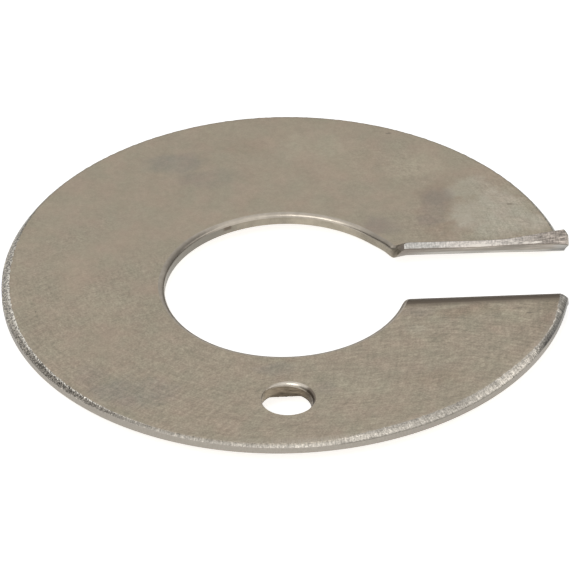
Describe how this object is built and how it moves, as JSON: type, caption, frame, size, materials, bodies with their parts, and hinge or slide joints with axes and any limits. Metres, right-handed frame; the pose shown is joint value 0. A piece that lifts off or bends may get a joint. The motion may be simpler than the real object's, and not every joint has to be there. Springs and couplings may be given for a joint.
{
  "type": "slotted washer",
  "caption": "Flat round steel washer with a slot from bore to rim, one slot edge turned up and the other turned down, and a small hole beside the bore",
  "frame": {"origin": "centre of the round disc in plan, at the height of the washer's lowest point, which is the outer corner of the down-turned slot edge; the disc's underside is 1.30 mm above it", "axes": "+Z normal to the disc, towards the face with the ground rim bevel; +X along the slot, from the bore out through the rim; +Y towards the slot edge that is turned up"},
  "size_m": [0.0521, 0.052, 0.0032],
  "materials": {
    "satin_steel": "satin, slightly warm grey with faint cloudy staining; rim bevel and slot edge bright from grinding and shearing"
  },
  "bodies": {
    "root": {"slotted_washer": "satin_steel"}
  },
  "joints": []
}
